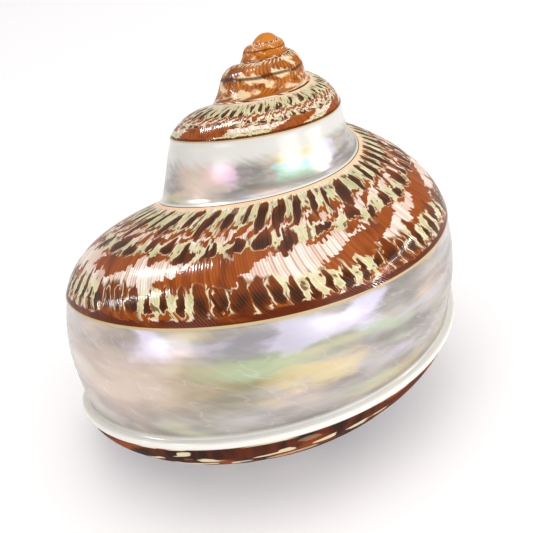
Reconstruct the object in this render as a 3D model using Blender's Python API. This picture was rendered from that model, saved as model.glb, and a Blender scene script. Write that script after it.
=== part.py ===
"""Turban shell with a polished band of mother-of-pearl, as one grown solid.

The shell is one spiral strip. Its upper edge is the suture, and its lower edge is glued to
the suture of the next whorl. The last whorl carries a raised cord, a rounded base and the
round mouth, whose hollow runs nearly half a turn up the whorl. Metres, +Z up, resting on the
level middle of its base, with the side that has the mouth turned away from -Y.
"""
import math

import bpy
import numpy as np

MM = 0.001
NODE = "shell"

# Growth. Turns are counted from the apex, and a whole turn is at -X of the shell's axis.
# Each station gives the suture's turn, its radius in mm, and its depth over its radius.
SUTURE_STATIONS = (
    (-0.5, 0.60, 1.24),
    (0.5, 1.46, 1.25),
    (1.5, 2.68, 1.28),
    (2.5, 5.36, 1.32),
    (3.0, 7.75, 1.30),
    (3.5, 11.45, 1.37),
    (4.0, 16.15, 1.44),
    (4.5, 23.30, 1.58),
    (5.15, 31.10, 1.83),
)
COLUMNS_PER_TURN = 64
LAG_COLUMNS = 15                # how far a growth line falls back from suture to cord
LAG_POWER = 3.0                 # the lag gathers towards the cord
FIRST_TURN = 0.40
LAST_TURN = 4.28                # where the mouth's upper corner meets the suture
APEX_DEPTH = 1.05               # mm below the spiral's own origin
DOME_REACH = 0.62               # the dome's ring, as a share of the first whorl's radius
DOME_FALL = 0.35                # and of its depth below the tip
DOME_SINK = 0.12                # mm that the dome's tip stands above its ring's own level

# Profile of a whorl: how far it swells from the chord, as a share of the chord's length.
PROFILE_AT = (0.0, 0.12, 0.28, 0.46, 0.64, 0.82, 1.0)
SPIRE_SWELL = (0.0, 0.100, 0.150, 0.142, 0.075, 0.020, 0.0)
LAST_SWELL = (0.0, 0.103, 0.210, 0.262, 0.232, 0.145, 0.0)
SWELL_BLEND = (2.5, 3.8)        # turns over which the first profile becomes the second
ROWS = (0.0, 0.045, 0.11, 0.2, 0.3, 0.42, 0.53, 0.555, 0.68, 0.82, 0.93, 1.0)
GROUND_EDGE = 0.542             # share of the chord where the pearl band begins
EARLY_EDGE = 0.447              # the same on the whorl before the last
EDGE_TURNS = (3.0, 3.5)         # turns over which the first edge becomes the second
EDGE_SOFTNESS = 0.012           # share of the chord over which the step eases, each way
GROUND_END = 0.95               # share of the chord where the step fades to the suture
GROUND_DEPTH = 0.25             # mm taken off the outer layer there
GROUND_TURNS = (2.15, 2.45)     # turns over which the ground band begins

# The raised cord under the band, as (along the chord past its end, swell).
CORD = ((0.006, 0.024), (0.020, 0.030), (0.034, 0.020), (0.042, 0.004))
CORD_RISE = 0.09                # turns from the mouth's corner over which the cord comes out
CORD_END = 0.03                 # turns before the lip over which it sinks by half

# How the shell stands: the table's upward direction in the shell's own frame.
STANDING_UP = (-0.16, -0.14, 0.975)
WORN_FLAT = 0.9                 # mm worn off where it touches the table

# The base, from the cord to the foot of the pillar, where it runs level with the table.
BASE_OUT = (0.92, 0.22)         # handle below the cord: shares of the cord's radius
BASE_STEPS = 8
PILLAR_FOOT = (-0.2, -0.2, -55.8)  # mm in the shell's own frame
PAD_REACH = 12.0                # mm from the foot to the base's second handle

# The mouth and its hollow.
LIP_WALL = 2.3                  # mm, thickness at the lip
PARIETAL_WALL = 1.1             # of the whorl before, inside the mouth
PILLAR_WALL = 3.4
PILLAR_PLACES = 5.0             # points of the loop over which the pillar's wall thins out
LIP_ROUND = 0.55                # how far the rounded lip stands forward, as a share of its wall
MOUTH_ROUNDNESS = 1.14          # longest reach of the mouth over its middling reach
WALL_RETREAT = 0.5              # columns by which the wall of the whorl before draws back
LIP_FADE = (3.0, 6.0)           # rows at the suture and at the foot where the lip stays level
LIP_EASING = 2                  # passes that ease the lip's own loops
LIP_SECTION = ((0.25, 0.85), (0.55, 1.0), (0.85, 0.6))  # across the lip, and how far it stands
MOUTH_EASING = 8                # passes that round the corners of the hollow's loop
HOLLOW_TURNS = 0.45             # how far back the hollow runs
HOLLOW_RINGS = 14
HOLLOW_SHRINK = 0.24            # how much narrower than the whorl it grows on the way


def spline(knots, values, at):
    """Natural cubic spline through the knots, read at the given places."""
    x = np.asarray(knots, float)
    y = np.asarray(values, float)
    gap = np.diff(x)
    slope = np.diff(y) / gap
    count = len(x)
    system = np.eye(count)
    right = np.zeros(count)
    for row in range(1, count - 1):
        system[row, row - 1] = gap[row - 1]
        system[row, row] = 2.0 * (gap[row - 1] + gap[row])
        system[row, row + 1] = gap[row]
        right[row] = 6.0 * (slope[row] - slope[row - 1])
    bend = np.linalg.solve(system, right)
    at = np.asarray(at, float)
    cell = np.clip(np.searchsorted(x, at, side="right") - 1, 0, count - 2)
    left = at - x[cell]
    width = gap[cell]
    start = slope[cell] - width * (2.0 * bend[cell] + bend[cell + 1]) / 6.0
    third = (bend[cell + 1] - bend[cell]) / (6.0 * width)
    return y[cell] + left * (start + left * (bend[cell] / 2.0 + left * third))


def smooth_step(value, low, high):
    """0 below low, 1 above high, and smooth between."""
    share = np.clip((np.asarray(value, float) - low) / (high - low), 0.0, 1.0)
    return share * share * (3.0 - 2.0 * share)


def suture(turn):
    """Radius and height of the suture at a turn, in mm."""
    turns = [station[0] for station in SUTURE_STATIONS]
    sizes = [math.log(station[1]) for station in SUTURE_STATIONS]
    ratios = [station[2] for station in SUTURE_STATIONS]
    radius = np.exp(spline(turns, sizes, turn))
    return radius, -radius * spline(turns, ratios, turn)


def swell(turn, share):
    """How far the whorl stands out from its chord at a share of the way down."""
    inside = np.clip(share, 0.0, 1.0)
    spire = spline(PROFILE_AT, SPIRE_SWELL, inside)
    last = spline(PROFILE_AT, LAST_SWELL, inside)
    grown = smooth_step(turn, *SWELL_BLEND)
    return spire * (1.0 - grown) + last * grown


def ground_edge(turn):
    """Share of the chord where the pearl band begins at a turn."""
    return EARLY_EDGE + (GROUND_EDGE - EARLY_EDGE) * smooth_step(turn, *EDGE_TURNS)


def row_share(column, row):
    """Share of the chord of a row, moved so that a pair of rows frames the band's edge."""
    edge = float(ground_edge(FIRST_TURN + column / COLUMNS_PER_TURN))
    if ROWS[row] <= GROUND_EDGE:
        return ROWS[row] * edge / GROUND_EDGE
    return 1.0 - (1.0 - ROWS[row]) * (1.0 - edge) / (1.0 - GROUND_EDGE)


def section_point(turn, share, extra=0.0):
    """Radius and height of the whorl's outline in the half-plane of that turn."""
    top_r, top_z = suture(turn)
    low_r, low_z = suture(turn + 1.0)
    run = low_r - top_r
    drop = low_z - top_z
    length = np.hypot(run, drop)
    edge = ground_edge(turn)
    ground = smooth_step(share, edge - EDGE_SOFTNESS, edge + EDGE_SOFTNESS)
    ground = ground * smooth_step(share, 1.0, GROUND_END) * smooth_step(turn, *GROUND_TURNS)
    out = swell(turn, share) + extra - ground * GROUND_DEPTH / length
    return top_r + share * run - out * drop, top_z + share * drop + out * run


def around(radius, height, turn):
    """A point of the half-plane of that turn, in the shell's own frame."""
    angle = math.pi - 2.0 * math.pi * turn
    return np.array((radius * math.cos(angle), radius * math.sin(angle), height))


def strip_point(column, share):
    """A point of the spiral strip: growth lines lag behind as they go down."""
    turn = FIRST_TURN + (column - LAG_COLUMNS * share ** LAG_POWER) / COLUMNS_PER_TURN
    radius, height = section_point(turn, share)
    return around(float(radius), float(height), turn)


def base_points(column):
    """The cord and the base of one growth line of the last whorl, down to the pillar."""
    turn = FIRST_TURN + (column - LAG_COLUMNS) / COLUMNS_PER_TURN
    from_mouth = turn - LAST_TURN + 1.0
    to_lip = LAST_TURN - LAG_COLUMNS / COLUMNS_PER_TURN - turn
    risen = float(smooth_step(from_mouth, 0.0, CORD_RISE) * smooth_step(to_lip, -CORD_END, CORD_END))
    points = []
    for past, out in CORD:
        radius, height = section_point(turn, 1.0 + past, out * risen)
        points.append(around(float(radius), float(height), turn))
    start = points[-1]
    cord_radius = math.hypot(start[0], start[1])
    first = around(cord_radius * BASE_OUT[0], start[2] - cord_radius * BASE_OUT[1], turn)
    foot = np.array(PILLAR_FOOT)
    level = around(PAD_REACH, 0.0, turn)
    level[2] = -(level[0] * STANDING_UP[0] + level[1] * STANDING_UP[1]) / STANDING_UP[2]
    second = foot + level
    for step in range(1, BASE_STEPS):
        share = step / BASE_STEPS
        rest = 1.0 - share
        points.append(rest ** 3 * start + 3.0 * rest * rest * share * first
                      + 3.0 * rest * share * share * second + share ** 3 * foot)
    return points


def eased(loop, passes):
    """The closed loop of points with its corners rounded."""
    for _ in range(passes):
        loop = loop * 0.5 + (np.roll(loop, 1, axis=0) + np.roll(loop, -1, axis=0)) * 0.25
    return loop


def mouth_rings(outer, forward, walls, retreat):
    """Rings of the rounded lip and of the hollow, from the mouth's outer edge inwards."""
    centre = outer.mean(axis=0)
    spokes = outer - centre
    reach = np.linalg.norm(spokes, axis=1)
    limit = MOUTH_ROUNDNESS * np.median(reach - walls)
    inner_reach = np.minimum(reach - walls, limit)
    inner = eased(centre + spokes * (inner_reach / reach)[:, None] + retreat, MOUTH_EASING)
    rim = eased(forward * (walls * LIP_ROUND)[:, None], LIP_EASING)
    edge = eased(outer, LIP_EASING)
    rings = [edge * (1.0 - across) + inner * across + rim * proud for across, proud in LIP_SECTION]
    rings.append(inner)
    top_r, top_z = suture(LAST_TURN)
    for ring in range(1, HOLLOW_RINGS + 1):
        back = HOLLOW_TURNS * ring / HOLLOW_RINGS
        radius, height = suture(LAST_TURN - back)
        size = np.array((radius / top_r, radius / top_r, height / top_z))
        turned = 2.0 * math.pi * back
        matrix = np.array(((math.cos(turned), -math.sin(turned), 0.0),
                           (math.sin(turned), math.cos(turned), 0.0),
                           (0.0, 0.0, 1.0)))
        narrow = 1.0 - HOLLOW_SHRINK * ring / HOLLOW_RINGS
        loop = centre + (inner - centre) * narrow
        rings.append((loop * size) @ matrix.T)
    return rings


def shell_mesh():
    """Points in mm in the shell's own frame, and faces, of the whole closed shell."""
    wrap = COLUMNS_PER_TURN - LAG_COLUMNS
    last = round((LAST_TURN - FIRST_TURN) * COLUMNS_PER_TURN)
    points = []
    faces = []
    grid = {}

    def add(point):
        points.append(point)
        return len(points) - 1

    rows = len(ROWS)
    for column in range(last + 1):
        for row in range(rows):
            if row == rows - 1 and column <= last - wrap:
                continue
            grid[column, row] = add(strip_point(column, row_share(column, row)))
    for column in range(last - wrap + 1):
        grid[column, rows - 1] = grid[column + wrap, 0]
    foot = add(np.array(PILLAR_FOOT))
    first_open = last - wrap
    deep = rows + len(CORD) + BASE_STEPS - 1
    for column in range(first_open, last + 1):
        for offset, point in enumerate(base_points(column)):
            grid[column, rows + offset] = add(point)
        grid[column, deep] = foot

    for column in range(last):
        depth = deep if column >= first_open else rows - 1
        for row in range(depth):
            corners = (grid[column, row], grid[column + 1, row],
                       grid[column + 1, row + 1], grid[column, row + 1])
            face = tuple(dict.fromkeys(corners))
            faces.append(face)

    # The apex: a small dome over the first whorl.
    loop = [grid[column, 0] for column in range(wrap)]
    loop += [grid[0, row] for row in range(rows - 1, 0, -1)]
    top = np.array((0.0, 0.0, -APEX_DEPTH))
    middle = []
    for index in loop:
        point = points[index]
        ring = point * DOME_REACH
        ring[2] = point[2] * DOME_FALL - APEX_DEPTH * (1.0 - DOME_FALL) + DOME_SINK
        middle.append(add(ring))
    tip = add(top)
    count = len(loop)
    for place in range(count):
        following = (place + 1) % count
        faces.append((loop[place], middle[place], middle[following], loop[following]))
        faces.append((middle[place], tip, middle[following]))

    # The mouth: the outer lip and the wall of the whorl before it make one loop.
    lip = [grid[last, row] for row in range(deep)] + [foot]
    wall = [grid[first_open, row] for row in range(deep - 1, rows - 1, -1)]
    edge = lip + wall
    outer = np.array([points[index] for index in edge])
    before = [grid[last - 1, row] for row in range(deep)]
    ahead = outer[:deep] - np.array([points[index] for index in before])
    ahead /= np.linalg.norm(ahead, axis=1)[:, None]
    forward = np.zeros_like(outer)
    forward[:deep] = ahead
    walls = np.full(len(edge), LIP_WALL)
    walls[deep:] = PARIETAL_WALL
    near_foot = np.abs(np.arange(len(edge)) - deep)
    walls += (PILLAR_WALL - walls) * np.clip(1.0 - near_foot / PILLAR_PLACES, 0.0, 1.0)
    place = np.arange(deep)
    fade = smooth_step(place, 0.0, LIP_FADE[0]) * smooth_step(place, deep - 1, deep - LIP_FADE[1])
    forward[:deep] *= fade[:, None]
    retreat = np.zeros_like(outer)
    retreat[deep + 1:] = np.array(base_points(first_open - 1))[::-1] - outer[deep + 1:]
    retreat *= WALL_RETREAT
    previous = edge
    for ring in mouth_rings(outer, forward, walls, retreat):
        current = [add(point) for point in ring]
        for place in range(len(edge)):
            following = (place + 1) % len(edge)
            faces.append((previous[place], current[place], current[following], previous[following]))
        previous = current
    end = add(np.mean([points[index] for index in previous], axis=0))
    for place in range(len(edge)):
        following = (place + 1) % len(edge)
        faces.append((previous[place], end, previous[following]))
    return np.array(points), faces


def standing(points):
    """Turn the shell to the way it stands, its lowest points worn flat on z = 0."""
    up = np.array(STANDING_UP)
    up /= np.linalg.norm(up)
    away = np.array((0.0, 1.0, 0.0))
    away -= up * (away @ up)
    away /= np.linalg.norm(away)
    right = np.cross(away, up)
    turned = points @ np.array((right, away, up)).T
    turned[:, 2] -= turned[:, 2].min() + WORN_FLAT
    turned[:, 2] = np.maximum(turned[:, 2], 0.0)
    low = turned.min(axis=0)
    high = turned.max(axis=0)
    turned[:, :2] -= (low[:2] + high[:2]) / 2.0
    return turned


def shell_material():
    """Glossy shell, in the mean colour of its pearl and its brown."""
    material = bpy.data.materials.new("polished_shell")
    material.use_nodes = True
    shader = material.node_tree.nodes["Principled BSDF"]
    shader.inputs["Base Color"].default_value = (0.62, 0.47, 0.36, 1.0)
    shader.inputs["Roughness"].default_value = 0.22
    shader.inputs["Metallic"].default_value = 0.0
    return material


def build():
    """Make the shell's object in its own collection."""
    for item in list(bpy.data.objects):
        bpy.data.objects.remove(item, do_unlink=True)
    collection = bpy.data.collections.new("turban_shell")
    bpy.context.scene.collection.children.link(collection)
    points, faces = shell_mesh()
    mesh = bpy.data.meshes.new(NODE)
    mesh.from_pydata((standing(points) * MM).tolist(), [], faces)
    mesh.validate()
    mesh.shade_smooth()
    mesh.materials.append(shell_material())
    collection.objects.link(bpy.data.objects.new(NODE, mesh))


if __name__ == "__main__":
    build()
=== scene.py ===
"""A turban shell, brown and cream above, with its middle polished down to the pearl.

The shell is one spiral strip that is glued to itself along its suture. Every point of it has
two growth coordinates: the turn of its growth line, and a level that counts the bands of its
markings from the suture to the foot of the pillar. The mesh and the finishes both use them.
"""
import logging
import math
from dataclasses import dataclass, field, replace
from enum import Enum

import bpy
import numpy as np
from mathutils import Matrix, Vector


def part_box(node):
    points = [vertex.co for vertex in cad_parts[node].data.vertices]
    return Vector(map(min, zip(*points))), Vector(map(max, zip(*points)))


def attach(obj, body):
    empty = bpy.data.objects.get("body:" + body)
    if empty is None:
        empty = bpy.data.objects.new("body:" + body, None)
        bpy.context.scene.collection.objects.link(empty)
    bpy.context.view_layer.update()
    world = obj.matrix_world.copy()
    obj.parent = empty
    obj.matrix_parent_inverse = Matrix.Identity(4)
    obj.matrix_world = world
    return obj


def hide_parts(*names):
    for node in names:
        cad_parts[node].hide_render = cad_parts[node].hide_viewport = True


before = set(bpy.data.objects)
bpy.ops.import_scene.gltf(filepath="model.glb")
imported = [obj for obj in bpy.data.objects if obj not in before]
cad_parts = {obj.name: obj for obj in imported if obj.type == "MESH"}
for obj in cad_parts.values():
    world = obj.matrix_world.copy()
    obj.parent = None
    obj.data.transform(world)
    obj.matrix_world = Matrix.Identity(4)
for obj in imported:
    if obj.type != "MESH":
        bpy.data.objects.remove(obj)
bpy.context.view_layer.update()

LOG = logging.getLogger("turban_shell")
MM = 0.001
NODE = "shell"
GROWTH_MAP = "growth"
BAKE_MAP = "OFBake"
LAG_TURNS = 15.0 / 64.0
HAIR = 1e-9

# Levels of the growth coordinates, from the dome at the apex to the inside of the hollow
DOME_LEVEL = -1.0
POLISH_LEVEL = 6.0
SUTURE_LEVEL = 8.0
CORD_LEVEL = 9.0
FOOT_LEVEL = 12.0
LIP_LEVEL = 12.5
HOLLOW_LEVEL = 13.0

Colour = tuple[float, float, float, float]


def srgb(red: int, green: int, blue: int) -> Colour:
    """A colour by its screen values, as the linear colour that a shader takes.

    Args:
        red: 0 to 255.
        green: 0 to 255.
        blue: 0 to 255.

    Returns:
        Linear red, green, blue and an alpha of 1.
    """
    linear = []
    for value in (red, green, blue):
        share = value / 255.0
        linear.append(share / 12.92 if share <= 0.04045 else ((share + 0.055) / 1.055) ** 2.4)
    return (linear[0], linear[1], linear[2], 1.0)


def smooth_step(value: np.ndarray, low: float, high: float) -> np.ndarray:
    """Rise smoothly from 0 to 1.

    Args:
        value: the values to read.
        low: the value that gives 0.
        high: the value that gives 1.

    Returns:
        A share from 0 to 1 for each value.
    """
    share = np.clip((np.asarray(value, float) - low) / (high - low), 0.0, 1.0)
    return share * share * (3.0 - 2.0 * share)


def spline(knots: tuple[float, ...], values: tuple[float, ...], at: np.ndarray) -> np.ndarray:
    """Read a natural cubic spline.

    Args:
        knots: rising places of the knots.
        values: the spline's value at each knot.
        at: places to read.

    Returns:
        The spline's values at those places.
    """
    x = np.asarray(knots, float)
    y = np.asarray(values, float)
    gap = np.diff(x)
    slope = np.diff(y) / gap
    count = len(x)
    system = np.eye(count)
    right = np.zeros(count)
    for row in range(1, count - 1):
        system[row, row - 1:row + 2] = (gap[row - 1], 2.0 * (gap[row - 1] + gap[row]), gap[row])
        right[row] = 6.0 * (slope[row] - slope[row - 1])
    bend = np.linalg.solve(system, right)
    at = np.asarray(at, float)
    cell = np.clip(np.searchsorted(x, at, side="right") - 1, 0, count - 2)
    left = at - x[cell]
    width = gap[cell]
    start = slope[cell] - width * (2.0 * bend[cell] + bend[cell + 1]) / 6.0
    third = (bend[cell + 1] - bend[cell]) / (6.0 * width)
    return y[cell] + left * (start + left * (bend[cell] / 2.0 + left * third))


def eased(loop: np.ndarray, passes: int) -> np.ndarray:
    """Round the corners of a closed loop.

    Args:
        loop: its points.
        passes: how often each point is drawn towards its neighbours.

    Returns:
        The rounded loop.
    """
    for _ in range(passes):
        loop = loop * 0.5 + (np.roll(loop, 1, axis=0) + np.roll(loop, -1, axis=0)) * 0.25
    return loop


@dataclass(frozen=True)
class Growth:
    """How the shell grows: its suture, the swell of its whorls and its growth lines, in mm."""

    station_turn: tuple[float, ...] = (-0.5, 0.5, 1.5, 2.5, 3.0, 3.5, 4.0, 4.5, 5.15)
    station_radius: tuple[float, ...] = (0.60, 1.46, 2.68, 5.36, 7.75, 11.45, 16.15, 23.30, 31.10)
    station_depth: tuple[float, ...] = (1.24, 1.25, 1.28, 1.32, 1.30, 1.37, 1.44, 1.58, 1.83)
    first_turn: float = 0.40
    last_turn: float = 4.275
    lag_turns: float = LAG_TURNS
    lag_power: float = 3.0
    profile_at: tuple[float, ...] = (0.0, 0.12, 0.28, 0.46, 0.64, 0.82, 1.0)
    spire_swell: tuple[float, ...] = (0.0, 0.100, 0.150, 0.142, 0.075, 0.020, 0.0)
    last_swell: tuple[float, ...] = (0.0, 0.103, 0.210, 0.262, 0.232, 0.145, 0.0)
    swell_blend: tuple[float, float] = (2.5, 3.8)

    def suture(self, turn: np.ndarray) -> tuple[np.ndarray, np.ndarray]:
        """Where the suture is.

        Args:
            turn: turns along the suture.

        Returns:
            Its radius and its height at each turn.
        """
        sizes = tuple(math.log(radius) for radius in self.station_radius)
        radius = np.exp(spline(self.station_turn, sizes, turn))
        return radius, -radius * spline(self.station_turn, self.station_depth, turn)

    def swell(self, turn: np.ndarray, share: np.ndarray) -> np.ndarray:
        """How far the whorl stands out from its chord.

        Args:
            turn: where each point stands round the axis.
            share: how far down the chord it lies.

        Returns:
            The distances, as shares of the chord's length.
        """
        inside = np.clip(share, 0.0, 1.0)
        spire = spline(self.profile_at, self.spire_swell, inside)
        last = spline(self.profile_at, self.last_swell, inside)
        grown = smooth_step(turn, *self.swell_blend)
        return spire * (1.0 - grown) + last * grown

    def outline(self, turn: np.ndarray, share: np.ndarray, raised: np.ndarray | float = 0.0,
                sunk: np.ndarray | float = 0.0) -> np.ndarray:
        """Points of the whorl's outline.

        Args:
            turn: where each point stands round the axis.
            share: how far down the chord from suture to suture it lies.
            raised: extra swell, as a share of the chord's length.
            sunk: depth below the outline, in mm.

        Returns:
            Points in the shell's own frame.
        """
        turn = np.asarray(turn, float)
        top_r, top_z = self.suture(turn)
        low_r, low_z = self.suture(turn + 1.0)
        run = low_r - top_r
        drop = low_z - top_z
        out = self.swell(turn, share) + raised - np.asarray(sunk) / np.hypot(run, drop)
        radius = top_r + share * run - out * drop
        return self.around(radius, top_z + share * drop + out * run, turn)

    def around(self, radius: np.ndarray, height: np.ndarray, turn: np.ndarray) -> np.ndarray:
        """Points of the half-plane at each turn.

        Args:
            radius: distance of each point from the axis.
            height: its height along the axis.
            turn: where its half-plane stands round the axis.

        Returns:
            Points in the shell's own frame.
        """
        angle = math.pi - 2.0 * math.pi * np.asarray(turn, float)
        return np.stack((radius * np.cos(angle), radius * np.sin(angle),
                         np.broadcast_to(height, angle.shape)), axis=-1)

    def lagged(self, line: np.ndarray, share: np.ndarray) -> np.ndarray:
        """The turn at which a growth line is, a share of the way down."""
        return np.asarray(line, float) - self.lag_turns * np.asarray(share, float) ** self.lag_power


@dataclass(frozen=True)
class Bands:
    """Where the bands of the markings lie, as shares of the chord, on three ages of whorl."""

    levels: tuple[float, ...] = (0.0, 0.5, 1.0, 2.0, 3.0, 4.0, 5.0, 5.5, 6.0, 8.0)
    early: tuple[float, ...] = (0.0, 0.03, 0.12, 0.40, 0.58, 0.75, 0.90, 0.95, 0.985, 1.0)
    middle: tuple[float, ...] = (0.0, 0.03, 0.15, 0.29, 0.35, 0.385, 0.415, 0.435, 0.447, 1.0)
    last: tuple[float, ...] = (0.0, 0.022, 0.07, 0.21, 0.31, 0.435, 0.515, 0.535, 0.546, 1.0)
    to_middle: tuple[float, float] = (2.12, 2.5)
    to_last: tuple[float, float] = (3.0, 3.5)

    def share(self, line: np.ndarray, level: float) -> np.ndarray:
        """How far down the chord a level lies.

        Args:
            line: turns of the growth lines.
            level: the level.

        Returns:
            Its share of the chord on each growth line.
        """
        middle = smooth_step(line, *self.to_middle)
        last = smooth_step(line, *self.to_last)
        first, second, third = (float(np.interp(level, self.levels, shares))
                                for shares in (self.early, self.middle, self.last))
        return (first * (1.0 - middle) + second * middle) * (1.0 - last) + third * last


@dataclass(frozen=True)
class Relief:
    """Fine relief of the surface, all of it cut inwards, in mm."""

    threads: tuple[tuple[float, float, int, float], ...] = (
        (0.0, 2.28, 64, 0.07), (2.28, 3.28, 192, 0.042), (3.28, 9.0, 384, 0.06))
    weakest: float = 0.55
    starts: tuple[float, float] = (0.0, 0.5)
    fades: tuple[float, float] = (5.3, 5.8)
    seed: int = 7
    draws: int = 4096
    ground_depth: float = 0.25
    ground_turns: tuple[float, float] = (2.15, 2.45)
    ground_levels: tuple[float, float] = (5.95, 6.1)
    ground_end: tuple[float, float] = (1.0, 0.95)

    def thread_depth(self, line: np.ndarray, level: float) -> np.ndarray:
        """Depth of the growth threads.

        Args:
            line: turns of the growth lines.
            level: the level.

        Returns:
            The depth at that level of each growth line, in mm.
        """
        line = np.asarray(line, float)
        depth = np.zeros_like(line)
        draws = np.random.default_rng(self.seed).random(self.draws)
        for start, end, count, cut in self.threads:
            here = (line >= start - HAIR) & (line < end - HAIR)
            phase = line * count
            wave = 0.5 - 0.5 * np.cos(2.0 * math.pi * phase)
            own = draws[np.floor(phase).astype(int) % self.draws]
            depth = np.where(here, cut * wave * (self.weakest + (1.0 - self.weakest) * own), depth)
        fade = smooth_step(level, *self.starts) * (1.0 - smooth_step(level, *self.fades))
        return depth * float(fade)

    def ground(self, line: np.ndarray, share: np.ndarray, level: float) -> np.ndarray:
        """Depth that the polishing took off.

        Args:
            line: turns of the growth lines.
            share: how far down the chord the level lies on each.
            level: the level.

        Returns:
            The depth at that level of each growth line, in mm.
        """
        taken = float(smooth_step(level, *self.ground_levels)) * smooth_step(line, *self.ground_turns)
        return taken * self.ground_depth * smooth_step(share, *self.ground_end)


@dataclass(frozen=True)
class Stance:
    """How the shell stands on the table: its lean, its place and its worn flat, in mm."""

    up: tuple[float, float, float] = (-0.16, -0.14, 0.975)
    origin_at: tuple[float, float, float] = (10.025, 2.856, 53.867)

    def place(self, points: np.ndarray) -> np.ndarray:
        """Stand the shell on the table.

        Args:
            points: points in the shell's own frame.

        Returns:
            The points where they stand, none of them below the table.
        """
        placed = points @ self.axes().T + np.array(self.origin_at)
        placed[:, 2] = np.maximum(placed[:, 2], 0.0)
        return placed

    def axes(self) -> np.ndarray:
        """Which way the shell is turned.

        Returns:
            Rows for right, away and up, each in the shell's own frame.
        """
        up = np.array(self.up)
        up /= np.linalg.norm(up)
        away = np.array((0.0, 1.0, 0.0))
        away -= up * (away @ up)
        away /= np.linalg.norm(away)
        return np.array((np.cross(away, up), away, up))


class Zone(Enum):
    """The finishes of the shell's surface, in the order of its material slots."""

    MARKED = 0
    PEARL = 1
    INNER = 2


class Chart(Enum):
    """The stretches of the surface that are laid flat on their own in the bake's map."""

    STRIP = 0
    CORD = 1
    BASE = 2
    APEX = 3
    MOUTH = 4


@dataclass(frozen=True)
class Sheet:
    """A rectangle of the bake's map, and the coordinates at its two corners."""

    first: tuple[float, float]
    last: tuple[float, float]
    low: tuple[float, float]
    high: tuple[float, float]

    def put(self, coords: np.ndarray) -> np.ndarray:
        """Place coordinates in the rectangle.

        Args:
            coords: the coordinates.

        Returns:
            Their places in the bake's map.
        """
        share = (coords - np.array(self.first)) / (np.array(self.last) - np.array(self.first))
        return np.array(self.low) + share * (np.array(self.high) - np.array(self.low))


@dataclass(frozen=True)
class BakeMap:
    """The shell laid flat without overlaps: its strip in four lengths, then the other charts."""

    lengths: tuple[Sheet, ...] = (
        Sheet((0.40, 0.0), (2.275, 8.0), (0.004, 0.528), (0.996, 0.580)),
        Sheet((2.275, 0.0), (3.275, 8.0), (0.004, 0.420), (0.996, 0.520)),
        Sheet((3.275, 0.0), (3.775, 8.0), (0.004, 0.212), (0.996, 0.412)),
        Sheet((3.775, 0.0), (4.28, 8.0), (0.004, 0.004), (0.996, 0.204)),
    )
    cord: Sheet = Sheet((3.5, 8.0), (4.28, 9.0), (0.004, 0.588), (0.996, 0.612))
    base: Sheet = Sheet((-1.0, -1.0), (1.0, 1.0), (0.004, 0.620), (0.380, 0.996))
    mouth: Sheet = Sheet((0.0, 0.0), (1.0, 64.0), (0.388, 0.620), (0.900, 0.996))
    apex: Sheet = Sheet((-2.6, -2.6), (2.6, 2.6), (0.910, 0.620), (0.996, 0.706))
    seam: tuple[float, float] = (0.25, 0.75)

    def lay(self, charts: np.ndarray, starts: np.ndarray, owner: np.ndarray, growth: np.ndarray,
            points: np.ndarray, mouth: np.ndarray) -> np.ndarray:
        """Lay the corners of the faces flat.

        Args:
            charts: each face's chart.
            starts: each face's first corner.
            owner: each corner's face.
            growth: each corner's turn and level.
            points: each corner's place in the shell's own frame.
            mouth: each corner's place round the mouth and ring.

        Returns:
            Each corner's place in the map.
        """
        chart = charts[owner]
        places = np.zeros_like(growth)
        first_turn = np.minimum.reduceat(growth[:, 0], starts)[owner]
        for sheet in self.lengths:
            here = (chart == Chart.STRIP.value) & (first_turn > sheet.first[0] - HAIR)
            places[here] = sheet.put(growth[here])
        here = chart == Chart.CORD.value
        places[here] = self.cord.put(growth[here])
        here = chart == Chart.BASE.value
        angle = growth[here, 0] * 2.0 * math.pi
        reach = (FOOT_LEVEL - growth[here, 1]) / (FOOT_LEVEL - CORD_LEVEL)
        places[here] = self.base.put(np.stack((reach * np.cos(angle), reach * np.sin(angle)), axis=-1))
        here = chart == Chart.APEX.value
        places[here] = self.apex.put(points[here, :2])
        here = chart == Chart.MOUTH.value
        around = mouth.copy()
        across = np.maximum.reduceat(mouth[:, 0], starts)[owner]
        around[(across > self.seam[1]) & (mouth[:, 0] < self.seam[0]), 0] += 1.0
        places[here] = self.mouth.put(around[here])
        return places


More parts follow.
